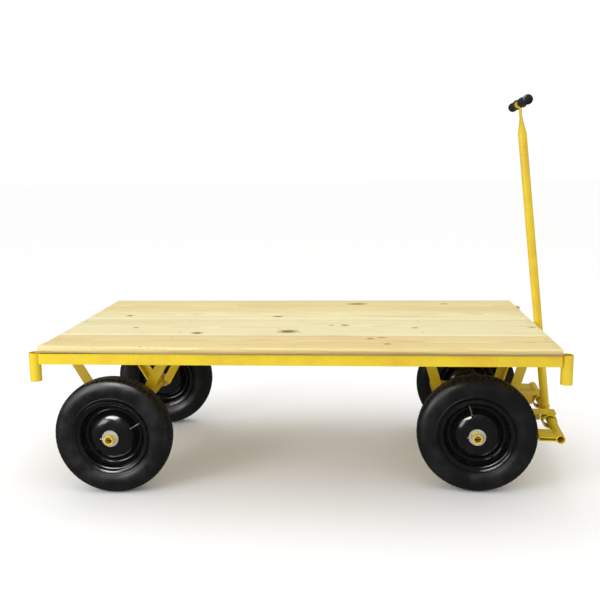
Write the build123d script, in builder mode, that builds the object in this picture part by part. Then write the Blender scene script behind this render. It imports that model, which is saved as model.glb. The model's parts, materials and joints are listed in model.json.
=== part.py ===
"""Four-wheel platform truck with a turntable front axle and a parking drawbar.

Frame: millimetres, +X towards the drawbar, +Y to the left of the truck, +Z up.
The origin is on the ground, under the middle of the truck's bounding box.
"""
from build123d import *
import math
import os

os.makedirs("parts", exist_ok=True)

# ---------------------------------------------------------------- driving sizes
# Deck
deck_length = 1500.0
deck_width = 800.0
deck_height = 463.0  # top of the boards above the ground
board_thickness = 20.0
board_widths = (173.0, 256.0, 118.0)  # from the right-hand side; the last board takes the rest
board_gap = 1.5
deck_overhang = 5.0  # boards past the side rails

# Angle iron of the frame
rail_size = 32.0
rail_wall = 4.0
rail_root_radius = 3.0

# Stake pockets
pocket_od = 33.7
pocket_id = 27.3
pocket_length = 85.0

# Struts between the frame and the axles
strut_size = 30.0
strut_wall = 4.0
strut_root_radius = 2.5
rear_strut_foot_spread = 20.0
rear_strut_plane = 250.0  # outer faces of the rear struts from the middle
front_strut_foot_spread = 107.0
front_strut_plane = 120.0

# Axles
axle_inset = 194.0  # axle line from the deck's end
axle_od = 26.7
axle_id = 20.9
axle_overhang = 18.0  # tube past the outer washers
rear_track = 656.0  # between the tyres' middle planes
front_track = 558.0

# Wheels
tyre_od = 356.0
tyre_width = 84.0
tyre_crown_drop = 5.0  # the tread is this much lower at its shoulders
tread_width = 64.0
tyre_wall = 5.0
tread_thickness = 9.0
bead_radius = 99.5
bead_width = 56.0
rim_lip_radius = 109.0
rim_sheet = 2.0
rim_bend_radius = 3.0
dish_radius = 70.0  # edge of the dish round the hub
dish_height = 37.5  # top of the dish from the wheel's middle plane
hub_length = 84.0
hub_od = 41.0
bearing_od = 35.0
bearing_length = 18.0
tube_wall = 2.0
valve_stem_radius = 3.6
valve_tip_radius = 63.0  # tip of the stem from the wheel's axis
valve_tip_plane = 34.0  # tip from the wheel's middle plane
valve_root_plane = 4.0

# Washers and split pins on the axles
washer_od = 50.0
washer_thickness = 3.0
pin_diameter = 4.4
pin_leg = 27.0  # bent end from the axle's middle
pin_eye_wire = 2.0
pin_eye_radius = 2.6

# Turntable and king bolt
turntable_plate = 8.0
upper_plate_side = 250.0
plate_corner_radius = 12.0
lower_plate_diameter = 250.0
saddle_wall = 5.0
saddle_cover = 32.0  # top of the saddle above the axle's middle
saddle_length = 280.0
king_bolt_diameter = 16.0
king_head_flats = 24.0
king_head_height = 10.0
king_nut_height = 13.0
king_washer_od = 40.0
king_bolt_tail = 4.5  # thread past the nut

# Hinge of the drawbar
pivot_reach = 243.0  # cross pipe from the king bolt
pivot_height = 169.0
cross_pipe_od = 26.7
cross_pipe_id = 20.9
cross_pipe_length = 584.0
hinge_bush_od = 46.0
hinge_bush_id = 37.0
hinge_bush_length = 44.0
hinge_spacing = 208.0  # between the middles of the two bushes
arm_wall = 5.0
arm_web_height = 30.0
arm_nose = 13.0  # arm past the cross pipe's axis

# Drawbar and handle
drawbar_od = 26.7
drawbar_id = 20.9
handle_height = 1155.0  # axis of the cross handle above the ground
flat_thickness = 8.0
flat_width = 36.0
flat_length = 34.0
flat_taper = 48.0
handle_od = 21.3
handle_id = 16.0
handle_length = 350.0
grip_od = 27.0
grip_length = 128.0
grip_flange_od = 31.0
grip_flange_length = 7.0
grip_end_wall = 3.0

# Brake shoes
shoe_width = 76.0
shoe_thickness = 12.0
shoe_wall = 2.5
shoe_reach = 63.0  # tip of the shoe from the cross pipe's axis

# Board screws
screw_head_diameter = 9.0
screw_head_depth = 4.0
screw_shank_diameter = 5.0
screw_tail = 3.0
screw_edge = 42.0  # outer screws from a wide board's edges

# Rest pose
steer_rest = -4.1  # front axle at rest, degrees, seen from above
park_gap = 1.6  # drawbar to the deck's end, with the front axle straight

# ---------------------------------------------------------------- clearances
running_clearance = 0.05  # radial, shafts in their bearings
seat_clearance = 0.2  # radial, pieces pushed together and then welded or pinned
hinge_seat_gap = 0.3  # cross pipe to the side of its wide bushes
side_clearance = 0.3  # axial, hubs between their washers
pin_clearance = 0.2

# ---------------------------------------------------------------- worked out
axle_height = tyre_od / 2
axle_r = axle_od / 2
pipe_r = cross_pipe_od / 2
pocket_r = pocket_od / 2
board_underside = deck_height - board_thickness
rail_outer_y = deck_width / 2 - deck_overhang
flange_underside = board_underside - rail_wall
hub_half = hub_length / 2

# The frame's origin is midway between the rear pockets and the cross pipe's front end.
steer = math.radians(steer_rest)
front_extent = (
    deck_length / 2 - axle_inset
    + (pivot_reach + pipe_r) * math.cos(steer)
    - cross_pipe_length / 2 * math.sin(steer)
)
rear_extent = deck_length / 2 + pocket_od
deck_x = (rear_extent - front_extent) / 2
rear_x = deck_x - deck_length / 2 + axle_inset
king_x = deck_x + deck_length / 2 - axle_inset

# Turntable stack, from the axle upwards
saddle_top = axle_height + saddle_cover
lower_plate_top = saddle_top + turntable_plate
upper_plate_top = lower_plate_top + turntable_plate
saddle_foot = axle_height - axle_r

# The parked drawbar leans back until it nearly meets the deck's end.
drawbar_r = drawbar_od / 2
park_reach = axle_inset + drawbar_r + park_gap
lean = math.atan((pivot_reach - park_reach) / (deck_height - pivot_height))
drawbar_length = (handle_height - pivot_height) / math.cos(lean)

turned = Location((king_x, 0, 0), (0, 0, steer_rest))


def front(plane):
    """A plane given from the king bolt's axis, turned with the front axle."""
    return Plane(turned * plane.location)


def across(x, y, z):
    """A plane whose normal is +Y, with local x along -X and local y up."""
    return Plane(origin=(x, y, z), x_dir=(-1, 0, 0), z_dir=(0, 1, 0))


def save(part, label):
    """Label a finished piece and write its STEP file."""
    part.label = label
    export_step(part, f"parts/{label}.step")


def angle_section(size, wall, root_radius):
    """An L of two equal flanges: its outer corner at the origin, flanges along +x and -y."""
    with BuildLine() as outline:
        Polyline(
            (0, 0), (size, 0), (size, -wall), (wall, -wall), (wall, -size), (0, -size),
            close=True,
        )
    face = make_face(outline.edges())
    fillet(face.vertices().sort_by_distance((wall, -wall))[0], root_radius)


def sheet_section(points, bend_radius, thickness):
    """A bent sheet along the points, with its thickness on the left of the path."""
    with BuildLine() as outline:
        FilletPolyline(*points, radius=bend_radius)
        offset(amount=thickness, side=Side.LEFT)
    make_face(outline.edges())


# ---------------------------------------------------------------- deck boards
board_edges = [-deck_width / 2]
for width in board_widths:
    board_edges.append(board_edges[-1] + width)
board_edges.append(deck_width / 2)

# Screws stand over the end rails' flanges and the bearers' flanges.
end_screw_x = deck_length / 2 - rail_size / 2 - rail_wall / 2
bearer_faces = (  # outer corner of each cross bearer, and which way its flange runs
    (rear_x + axle_inset, -1),
    (deck_x + rail_size / 2, -1),
    (king_x - axle_inset, 1),
)
screw_rows = [deck_x - end_screw_x, deck_x + end_screw_x]
screw_rows += [corner + way * rail_size / 2 for corner, way in bearer_faces]
wide_board = 3 * screw_edge

screw_spots = []
for low, high in zip(board_edges, board_edges[1:]):
    if high - low > wide_board:
        columns = (low + screw_edge, high - screw_edge)
    else:
        columns = ((low + high) / 2,)
    screw_spots += [(x, y) for x in screw_rows for y in columns]

head_r = screw_head_diameter / 2
shank_r = screw_shank_diameter / 2


def screw_profile(radius_gap):
    """Half section of a countersunk screw standing with its head's top at z = 0."""
    length = board_thickness + rail_wall + screw_tail
    with BuildLine() as outline:
        Polyline(
            (0, 0), (head_r + radius_gap, 0),
            (shank_r + radius_gap, -screw_head_depth),
            (shank_r + radius_gap, -length),
            (0, -length), close=True,
        )
    make_face(outline.edges())


def screw_holes(spots):
    """Cut the screws' clearance holes at the given places out of the current piece."""
    for x, y in spots:
        seat = Plane(origin=(x, y, deck_height), x_dir=(1, 0, 0), z_dir=(0, -1, 0))
        with BuildSketch(seat) as section:
            screw_profile(pin_clearance)
        revolve(section.sketch, axis=Axis((x, y, 0), (0, 0, 1)), mode=Mode.SUBTRACT)


def spots_in(x_low, x_high, y_low, y_high):
    """The screws that stand in a rectangle seen from above."""
    return [(x, y) for x, y in screw_spots if x_low < x < x_high and y_low < y < y_high]


for number, (low, high) in enumerate(zip(board_edges, board_edges[1:]), start=1):
    left = low if number == 1 else low + board_gap / 2
    right = high if number == len(board_edges) - 1 else high - board_gap / 2
    with BuildPart() as deck_board:
        with BuildSketch(Plane.XY.offset(board_underside)):
            with Locations((deck_x, (left + right) / 2)):
                Rectangle(deck_length, right - left)
        extrude(amount=board_thickness)
        edges = deck_board.edges().filter_by(Axis.X).group_by(Axis.Z)[-1]
        chamfer(edges, 0.8)
        screw_holes(spots_in(-deck_length, deck_length, left, right))
    save(deck_board.part, f"deck_board_{number}")

with BuildPart() as deck_screws:
    for x, y in screw_spots:
        seat = Plane(origin=(x, y, deck_height), x_dir=(1, 0, 0), z_dir=(0, -1, 0))
        with BuildSketch(seat):
            screw_profile(0.0)
        revolve(axis=Axis((x, y, 0), (0, 0, 1)))
save(deck_screws.part, "deck_screws")

# ---------------------------------------------------------------- angle-iron frame


def mitre(end, side):
    """The mitre plane of a frame corner; its normal points to the end rail's half."""
    corner = (deck_x + end * deck_length / 2, side * rail_outer_y, board_underside)
    return Plane(origin=corner, z_dir=(end, -side, 0))


for side, name in ((1, "left"), (-1, "right")):
    with BuildPart() as side_rail:
        start = Plane(
            origin=(deck_x, side * rail_outer_y, board_underside),
            x_dir=(0, -side, 0), z_dir=(-side, 0, 0),
        )
        with BuildSketch(start):
            angle_section(rail_size, rail_wall, rail_root_radius)
        extrude(amount=deck_length / 2, both=True)
        for end in (1, -1):
            split(bisect_by=mitre(end, side), keep=Keep.BOTTOM)
    save(side_rail.part, f"side_rail_{name}")

for end, name in ((1, "front"), (-1, "rear")):
    with BuildPart() as end_rail:
        start = Plane(
            origin=(deck_x + end * deck_length / 2, 0, board_underside),
            x_dir=(-end, 0, 0), z_dir=(0, end, 0),
        )
        with BuildSketch(start):
            angle_section(rail_size, rail_wall, rail_root_radius)
        extrude(amount=rail_outer_y, both=True)
        for side in (1, -1):
            split(bisect_by=mitre(end, side), keep=Keep.TOP)
        outer = deck_x + end * deck_length / 2
        inner = outer - end * rail_size
        screw_holes(spots_in(min(outer, inner), max(outer, inner), -deck_width, deck_width))
    save(end_rail.part, f"end_rail_{name}")

bearer_half = rail_outer_y - rail_size
for (corner, way), name in zip(bearer_faces, ("rear", "middle", "front")):
    with BuildPart() as cross_bearer:
        start = Plane(
            origin=(corner, 0, board_underside), x_dir=(way, 0, 0), z_dir=(0, -way, 0)
        )
        with BuildSketch(start):
            angle_section(rail_size, rail_wall, rail_root_radius)
        extrude(amount=bearer_half, both=True)
        far = corner + way * rail_size
        screw_holes(spots_in(min(corner, far), max(corner, far), -deck_width, deck_width))
    save(cross_bearer.part, f"cross_bearer_{name}")

pocket_y = rail_outer_y - pocket_r
for end, end_name in ((1, "front"), (-1, "rear")):
    for side, side_name in ((1, "left"), (-1, "right")):
        pocket_x = deck_x + end * (deck_length / 2 + pocket_r)
        with BuildPart() as stake_pocket:
            with BuildSketch(Plane.XY.offset(board_underside - pocket_length)):
                with Locations((pocket_x, side * pocket_y)):
                    Circle(pocket_r)
                    Circle(pocket_id / 2, mode=Mode.SUBTRACT)
            extrude(amount=pocket_length)
        save(stake_pocket.part, f"stake_pocket_{end_name}_{side_name}")

# ---------------------------------------------------------------- struts


# Outer edge of every strut's top from its axle, just inside the root of the rails.
strut_edge = axle_inset - rail_wall - rail_root_radius - seat_clearance


def strut_slope(foot_spread, rise):
    """Angle from upright at which a strut's outer edge ends at strut_edge."""
    slope = 0.0
    for _ in range(20):
        top_spread = strut_edge - strut_size / 2 / math.cos(slope)
        slope = math.atan2(top_spread - foot_spread, rise)
    return slope


def strut_body(axle_x, end, side, plane_y, foot_spread, foot_z):
    """One sloping angle iron from foot_z up to the frame's flanges.

    Its flat flange is in an upright plane along the truck, and its other flange is on
    the side away from the axle and runs towards the middle of the truck.
    """
    rise = flange_underside - foot_z
    slope = strut_slope(foot_spread, rise)
    run = rise * math.tan(slope)
    inward = (-end * math.cos(slope), 0, math.sin(slope))
    reach = strut_size / 2
    middle_x = axle_x + end * (foot_spread + run / 2)
    middle_z = foot_z + rise / 2
    corner = (middle_x - inward[0] * reach, side * plane_y, middle_z - inward[2] * reach)
    along = Vector(*inward).cross(Vector(0, side, 0))
    start = Plane(origin=corner, x_dir=inward, z_dir=along)
    with BuildSketch(start) as section:
        angle_section(strut_size, strut_wall, strut_root_radius)
    extrude(section.sketch, amount=rise, both=True)
    split(bisect_by=Plane.XY.offset(flange_underside), keep=Keep.BOTTOM)
    split(bisect_by=Plane.XY.offset(foot_z), keep=Keep.TOP)


ends = ((1, "front"), (-1, "rear"))
sides = ((1, "left"), (-1, "right"))
for end, end_name in ends:
    for side, side_name in sides:
        with BuildPart() as rear_strut:
            strut_body(rear_x, end, side, rear_strut_plane, rear_strut_foot_spread, axle_height)
            with BuildSketch(across(rear_x, 0, axle_height)):
                Circle(axle_r + seat_clearance)
            extrude(amount=deck_width, both=True, mode=Mode.SUBTRACT)
        save(rear_strut.part, f"rear_strut_{end_name}_{side_name}")

        with BuildPart() as front_strut:
            strut_body(
                king_x, end, side, front_strut_plane, front_strut_foot_spread, upper_plate_top
            )
        save(front_strut.part, f"front_strut_{end_name}_{side_name}")

# ---------------------------------------------------------------- axles
washer_bore = axle_r + seat_clearance
washer_outer = hub_half + side_clearance + washer_thickness
pin_stand_off = washer_outer + pin_diameter / 2 + pin_clearance
pin_hole_r = pin_diameter / 2 + pin_clearance


def axle_stations(track):
    """Distances from the middle of the truck to an axle's washers, pins and end."""
    middle = track / 2
    washers = [middle + way * (washer_outer - washer_thickness / 2) for way in (-1, 1)]
    pins = [middle + way * pin_stand_off for way in (-1, 1)]
    end = middle + washer_outer + axle_overhang
    return washers, pins, end


def axle_tube(place, track):
    """A pipe axle with a cross hole for each split pin; place moves planes to the axle."""
    _, pins, end = axle_stations(track)
    with BuildSketch(place(across(0, 0, axle_height))) as section:
        Circle(axle_r)
        Circle(axle_id / 2, mode=Mode.SUBTRACT)
    extrude(section.sketch, amount=end, both=True)
    for side in (-1, 1):
        for pin in pins:
            hole = Plane(origin=(0, side * pin, axle_height), x_dir=(0, 1, 0), z_dir=(1, 0, 0))
            with BuildSketch(place(hole)) as bore:
                Circle(pin_hole_r)
            extrude(bore.sketch, amount=axle_od, both=True, mode=Mode.SUBTRACT)


def axle_washers(place, track):
    """The four washers that keep two wheels on an axle."""
    washers, _, _ = axle_stations(track)
    for side in (-1, 1):
        for washer in washers:
            with BuildSketch(place(across(0, side * washer, axle_height))) as ring:
                Circle(washer_od / 2)
                Circle(washer_bore, mode=Mode.SUBTRACT)
            extrude(ring.sketch, amount=washer_thickness / 2, both=True)


def split_pins(place, track):
    """The four split pins of an axle, lying along the truck with their eyes in front."""
    _, pins, _ = axle_stations(track)
    ring = pin_eye_radius
    eye_x = axle_r + seat_clearance + ring + pin_eye_wire / 2
    for side in (-1, 1):
        for pin in pins:
            y = side * pin
            tail = Plane(origin=(-pin_leg, y, axle_height), x_dir=(0, 1, 0), z_dir=(1, 0, 0))
            with BuildSketch(place(tail)) as shank:
                Circle(pin_diameter / 2)
            extrude(shank.sketch, amount=pin_leg + eye_x - ring)
            wire = place(Plane(origin=(eye_x, y, axle_height), x_dir=(1, 0, 0)))
            with BuildSketch(wire) as bend:
                with Locations((ring, 0)):
                    Circle(pin_eye_wire / 2)
            revolve(bend.sketch, axis=Axis(wire.origin, wire.y_dir))


def rear(plane):
    """A plane given from the rear axle's middle, moved to it."""
    return Plane(Location((rear_x, 0, 0)) * plane.location)


for place, track, name in ((rear, rear_track, "rear"), (front, front_track, "front")):
    with BuildPart() as axle:
        axle_tube(place, track)
        if name == "front":
            with BuildSketch(place(Plane.XY.offset(axle_height))):
                Circle(king_bolt_diameter / 2 + running_clearance)
            extrude(amount=axle_od, both=True, mode=Mode.SUBTRACT)
    save(axle.part, f"{name}_axle")

    with BuildPart() as wheel_washers:
        axle_washers(place, track)
    save(wheel_washers.part, f"{name}_wheel_washers")

    with BuildPart() as wheel_pins:
        split_pins(place, track)
    save(wheel_pins.part, f"{name}_split_pins")

# ---------------------------------------------------------------- wheels
bead_half = bead_width / 2
lip_gap = 0.6  # rim lip to the tyre's bead
lip_face = bead_half + rim_sheet + lip_gap
half_tread = tread_width / 2
half_width = tyre_width / 2
crown = tyre_od / 2
bulge_radius = bead_radius + 42.0


def tyre_outline(inset_side, inset_crown, bead_inset):
    """The right half of a tyre's section, from its middle to the bead, as (width, radius)."""
    shoulder = (half_tread - inset_side * 0.3, crown - tyre_crown_drop - inset_crown)
    bulge = (half_width - inset_side, bulge_radius)
    bead = (bead_half - bead_inset, bead_radius)
    Line((0, crown - inset_crown), (shoulder[0] * 0.55, crown - inset_crown - 0.6))
    Spline(
        (shoulder[0] * 0.55, crown - inset_crown - 0.6), shoulder, bulge,
        (bead_half + 1.0 - bead_inset, bead_radius + 9.0), bead,
    )


def tyre_body(hub_plane):
    """A hollow tyre: outer outline, inner outline and the two beads, revolved."""
    with BuildSketch(hub_plane) as section:
        with BuildLine():
            tyre_outline(0.0, 0.0, 0.0)
            tyre_outline(tyre_wall, tread_thickness, tyre_wall + 1.5)
            Line((0, crown), (0, crown - tread_thickness))
            Line((bead_half, bead_radius), (bead_half - tyre_wall - 1.5, bead_radius))
        make_face()
        mirror(about=Plane.YZ)
    revolve(section.sketch, axis=Axis(hub_plane.origin, hub_plane.x_dir))


# The inner tube fills the tyre's inside, clear of it.
tube_gap = 2.0
ring_radius = (bead_radius + crown - tread_thickness) / 2 + 4.0
tube_r = crown - tread_thickness - ring_radius - tube_gap
stem_root_radius = ring_radius - tube_r + tube_wall


def tube_body(hub_plane, spoke, stem_length):
    """The inner tube, a thin ring, with its valve stem leaning out towards the hub."""
    with BuildSketch(hub_plane) as ring:
        with Locations((0, ring_radius)):
            Circle(tube_r)
            Circle(tube_r - tube_wall, mode=Mode.SUBTRACT)
    revolve(ring.sketch, axis=Axis(hub_plane.origin, hub_plane.x_dir))
    with BuildSketch(spoke) as stem:
        Circle(valve_stem_radius)
    extrude(stem.sketch, amount=stem_length)


def rim_halves(hub_plane):
    """Two pressed halves of a rim, dished round the hub and welded at the middle plane."""
    seat = bead_radius - rim_sheet - seat_clearance
    points = [
        (dish_height, hub_od / 2 + seat_clearance), (dish_height, dish_radius - 40.0),
        (dish_height - 2.0, dish_radius - 24.0), (dish_height - 8.5, dish_radius - 10.0),
        (dish_height - 16.5, dish_radius - 2.0), (rim_sheet + 8.0, dish_radius + 3.5),
        (rim_sheet, dish_radius + 8.0), (rim_sheet, seat - 13.3), (8.0, seat - 7.3),
        (15.0, seat - 1.5), (lip_face, seat), (lip_face + 1.5, rim_lip_radius - 3.0),
        (lip_face + 6.0, rim_lip_radius),
    ]
    with BuildSketch(hub_plane) as section:
        sheet_section(points, rim_bend_radius, rim_sheet)
    revolve(section.sketch, axis=Axis(hub_plane.origin, hub_plane.x_dir))
    mirror(about=Plane(origin=hub_plane.origin, z_dir=hub_plane.x_dir))


wheels = (
    ("rear_left", rear, rear_track, 1, 24.0), ("rear_right", rear, rear_track, -1, 24.0),
    ("front_left", front, front_track, 1, 104.0), ("front_right", front, front_track, -1, 104.0),
)
for name, place, track, side, valve_angle in wheels:
    middle = side * track / 2
    hub_plane = place(
        Plane(origin=(0, middle, axle_height), x_dir=(0, side, 0), z_dir=(side, 0, 0))
    )
    lift = math.radians(valve_angle)
    axle_point = Vector(0, middle, axle_height)
    outward = Vector(math.cos(lift), 0, math.sin(lift))
    tip = axle_point + outward * valve_tip_radius + Vector(0, side * valve_tip_plane, 0)
    root = axle_point + outward * stem_root_radius + Vector(0, side * valve_root_plane, 0)
    spoke = place(Plane(origin=tip, z_dir=root - tip))
    stem_length = (root - tip).length

    with BuildPart() as tyre:
        tyre_body(hub_plane)
    save(tyre.part, f"{name}_tyre")

    with BuildPart() as inner_tube:
        tube_body(hub_plane, spoke, stem_length)
    save(inner_tube.part, f"{name}_inner_tube")

    with BuildPart() as rim:
        rim_halves(hub_plane)
        with BuildSketch(spoke):
            Circle(valve_stem_radius + seat_clearance)
        extrude(amount=stem_length, mode=Mode.SUBTRACT)
    save(rim.part, f"{name}_rim")

    with BuildPart() as hub:
        with BuildSketch(hub_plane):
            with Locations((0, (hub_od + bearing_od) / 4)):
                Rectangle(hub_length, (hub_od - bearing_od) / 2)
            bearing_in = axle_r + running_clearance
            bearing_out = bearing_od / 2 - seat_clearance
            bearing_middle = (hub_length - bearing_length) / 2
            for way in (-1, 1):
                with Locations((way * bearing_middle, (bearing_in + bearing_out) / 2)):
                    Rectangle(bearing_length, bearing_out - bearing_in)
        revolve(axis=Axis(hub_plane.origin, hub_plane.x_dir))
    save(hub.part, f"{name}_hub")

# ---------------------------------------------------------------- turntable and king bolt
bolt_r = king_bolt_diameter / 2
king_bore = bolt_r + running_clearance
king_washer_bore = bolt_r + seat_clearance
washer_top = upper_plate_top + washer_thickness
nut_top = saddle_foot - washer_thickness
nut_foot = nut_top - king_nut_height

with BuildPart() as upper_turntable_plate:
    with BuildSketch(Plane.XY.offset(lower_plate_top)):
        with Locations((king_x, 0)):
            RectangleRounded(upper_plate_side, upper_plate_side, plate_corner_radius)
            Circle(king_washer_bore, mode=Mode.SUBTRACT)
    extrude(amount=turntable_plate)
save(upper_turntable_plate.part, "upper_turntable_plate")

with BuildPart() as king_bolt:
    with BuildSketch(Plane.XY.offset(washer_top)):
        with Locations((king_x, 0)):
            RegularPolygon(king_head_flats / 2, 6, major_radius=False)
    extrude(amount=king_head_height)
    with BuildSketch(Plane.XY.offset(washer_top)):
        with Locations((king_x, 0)):
            Circle(bolt_r)
    extrude(amount=-(washer_top - nut_foot + king_bolt_tail))
    tip = king_bolt.edges().filter_by(GeomType.CIRCLE).sort_by(Axis.Z)[0]
    chamfer(tip, 1.5)
save(king_bolt.part, "king_bolt")

with BuildPart() as king_nut:
    with BuildSketch(Plane.XY.offset(nut_foot)):
        with Locations((king_x, 0)):
            RegularPolygon(king_head_flats / 2, 6, major_radius=False)
            Circle(king_bore, mode=Mode.SUBTRACT)
    extrude(amount=king_nut_height)
    for foot in (nut_top, upper_plate_top):
        with BuildSketch(Plane.XY.offset(foot)):
            with Locations((king_x, 0)):
                Circle(king_washer_od / 2)
                Circle(king_washer_bore, mode=Mode.SUBTRACT)
        extrude(amount=washer_thickness)
save(king_nut.part, "king_nut_and_washers")

with BuildPart() as lower_turntable_plate:
    with BuildSketch(front(Plane.XY.offset(saddle_top))):
        Circle(lower_plate_diameter / 2)
        Circle(king_bore, mode=Mode.SUBTRACT)
    extrude(amount=turntable_plate)
save(lower_turntable_plate.part, "lower_turntable_plate")

saddle_half = axle_r + seat_clearance + saddle_wall
with BuildPart() as axle_saddle:
    with BuildSketch(front(across(0, 0, 0))):
        with Locations((0, (saddle_foot + saddle_top) / 2)):
            Rectangle(2 * saddle_half, saddle_top - saddle_foot)
        with Locations((0, (saddle_foot + saddle_top - saddle_wall) / 2)):
            Rectangle(
                2 * (saddle_half - saddle_wall), saddle_top - saddle_wall - saddle_foot,
                mode=Mode.SUBTRACT,
            )
    extrude(amount=saddle_length / 2, both=True)
    with BuildSketch(front(Plane.XY.offset(saddle_foot))):
        Circle(king_bore)
    extrude(amount=saddle_top, mode=Mode.SUBTRACT)
save(axle_saddle.part, "axle_saddle")

# ---------------------------------------------------------------- drawbar hinge
bush_r = hinge_bush_od / 2
bush_back = hinge_bush_id / 2 - pipe_r - hinge_seat_gap
bush_x = pivot_reach - bush_back
arm_underside = pivot_height + bush_r
web_end = bush_x - bush_r - 2.0
arm_inner = (hinge_spacing - hinge_bush_length) / 2

with BuildPart() as hinge_bushes:
    for side in (-1, 1):
        with BuildSketch(front(across(bush_x, side * hinge_spacing / 2, pivot_height))):
            Circle(bush_r)
            Circle(hinge_bush_id / 2, mode=Mode.SUBTRACT)
        extrude(amount=hinge_bush_length / 2, both=True)
save(hinge_bushes.part, "hinge_bushes")

with BuildPart() as hinge_arms:
    for side in (-1, 1):
        with BuildSketch(front(Plane.XY.offset(arm_underside))):
            nose = pivot_reach + arm_nose
            with Locations(((saddle_half + nose) / 2, side * hinge_spacing / 2)):
                Rectangle(nose - saddle_half, hinge_bush_length)
        extrude(amount=arm_wall)
        with BuildSketch(front(Plane.XY.offset(arm_underside - arm_web_height))):
            with Locations(((saddle_half + web_end) / 2, side * (arm_inner + arm_wall / 2))):
                Rectangle(web_end - saddle_half, arm_wall)
        extrude(amount=arm_web_height)
save(hinge_arms.part, "hinge_arms")

with BuildPart() as cross_pipe:
    with BuildSketch(front(across(pivot_reach, 0, pivot_height))):
        Circle(pipe_r)
        Circle(cross_pipe_id / 2, mode=Mode.SUBTRACT)
    extrude(amount=cross_pipe_length / 2, both=True)
save(cross_pipe.part, "cross_pipe")

# ---------------------------------------------------------------- brake shoes
with BuildPart() as brake_shoes:
    shoe_middle = (cross_pipe_length - shoe_width) / 2
    for side in (-1, 1):
        with BuildSketch(front(across(pivot_reach, side * shoe_middle, pivot_height))):
            with Locations((shoe_reach / 2, 0)):
                RectangleRounded(shoe_reach, shoe_thickness, shoe_wall)
                RectangleRounded(
                    shoe_reach - 2 * shoe_wall, shoe_thickness - 2 * shoe_wall,
                    shoe_wall / 2, mode=Mode.SUBTRACT,
                )
            Circle(pipe_r + seat_clearance, mode=Mode.SUBTRACT)
        extrude(amount=shoe_width / 2, both=True)
save(brake_shoes.part, "brake_shoes")

# ---------------------------------------------------------------- drawbar and handle
bar_dir = Vector(-math.sin(lean), 0, math.cos(lean))
pivot = Vector(pivot_reach, 0, pivot_height)


def on_bar(distance):
    """A plane across the drawbar at a distance from the cross pipe's axis."""
    origin = pivot + bar_dir * distance
    return front(Plane(origin=origin, x_dir=(0, 1, 0), z_dir=bar_dir))


handle_r = handle_od / 2
flat_top = drawbar_length - handle_r - seat_clearance
flat_start = flat_top - flat_length
round_top = flat_start - flat_taper

with BuildPart() as drawbar_tube:
    with BuildSketch(on_bar(0)):
        Circle(drawbar_r)
    extrude(amount=round_top)
    with BuildSketch(on_bar(round_top)):
        Circle(drawbar_r)
    with BuildSketch(on_bar(flat_start)):
        Ellipse(flat_width / 2, flat_thickness / 2)
    loft()
    with BuildSketch(on_bar(flat_start)):
        Ellipse(flat_width / 2, flat_thickness / 2)
    extrude(amount=flat_length)
    with BuildSketch(on_bar(0)):
        Circle(drawbar_id / 2)
    extrude(amount=round_top, mode=Mode.SUBTRACT)
    with BuildSketch(front(across(pivot_reach, 0, pivot_height))):
        Circle(pipe_r + seat_clearance)
    extrude(amount=drawbar_od, both=True, mode=Mode.SUBTRACT)
save(drawbar_tube.part, "drawbar_tube")

handle_axis = pivot + bar_dir * drawbar_length
with BuildPart() as handle_bar:
    with BuildSketch(front(across(handle_axis.X, 0, handle_axis.Z))):
        Circle(handle_r)
        Circle(handle_id / 2, mode=Mode.SUBTRACT)
    extrude(amount=handle_length / 2, both=True)
save(handle_bar.part, "handle_bar")

for side, name in ((1, "left"), (-1, "right")):
    grip_end = handle_length / 2 + grip_end_wall
    with BuildPart() as grip:
        profile = front(
            Plane(
                origin=(handle_axis.X, side * grip_end, handle_axis.Z),
                x_dir=(0, -side, 0), z_dir=(-side, 0, 0),
            )
        )
        with BuildSketch(profile):
            with BuildLine():
                Polyline(
                    (0, 0), (0, grip_od / 2 - 2.0), (2.0, grip_od / 2),
                    (grip_length - grip_flange_length, grip_od / 2),
                    (grip_length - grip_flange_length + 1.5, grip_flange_od / 2),
                    (grip_length, grip_flange_od / 2),
                    (grip_length, handle_r + seat_clearance),
                    (grip_end_wall, handle_r + seat_clearance), (grip_end_wall, 0),
                    close=True,
                )
            make_face()
        revolve(axis=Axis(profile.origin, profile.x_dir))
    save(grip.part, f"{name}_grip")
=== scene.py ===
"""A platform truck with a board deck, pneumatic wheels and a turntable drawbar.

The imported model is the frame.  This file gives its pieces their finishes, and builds the
detailed pieces that stand for plainer ones: boards, screws, tyres, rims, valves, split
pins, grips and weld beads.  Everything is in metres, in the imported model's own frame.
"""
import json
import logging
import math
from dataclasses import dataclass, field
from enum import Enum
from typing import Any, Iterable, Sequence

import bmesh
import bpy
from mathutils import Matrix, Vector, noise


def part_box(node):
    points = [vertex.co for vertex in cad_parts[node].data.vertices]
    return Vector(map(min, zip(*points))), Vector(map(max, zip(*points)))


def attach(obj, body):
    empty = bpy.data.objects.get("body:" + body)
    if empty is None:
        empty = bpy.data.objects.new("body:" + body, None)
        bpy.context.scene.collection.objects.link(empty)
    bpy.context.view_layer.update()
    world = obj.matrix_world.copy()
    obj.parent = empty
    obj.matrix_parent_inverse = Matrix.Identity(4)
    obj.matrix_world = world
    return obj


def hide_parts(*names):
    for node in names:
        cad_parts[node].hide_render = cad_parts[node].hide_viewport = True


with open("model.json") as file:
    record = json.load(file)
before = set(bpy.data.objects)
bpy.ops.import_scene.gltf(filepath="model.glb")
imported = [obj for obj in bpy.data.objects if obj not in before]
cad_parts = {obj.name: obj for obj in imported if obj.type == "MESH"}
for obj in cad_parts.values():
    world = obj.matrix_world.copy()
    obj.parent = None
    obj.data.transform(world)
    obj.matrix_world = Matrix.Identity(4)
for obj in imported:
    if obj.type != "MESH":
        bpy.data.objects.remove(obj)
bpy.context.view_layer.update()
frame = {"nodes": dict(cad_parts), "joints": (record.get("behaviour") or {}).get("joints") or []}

LOG = logging.getLogger("platform_truck")
MM = 0.001
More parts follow.
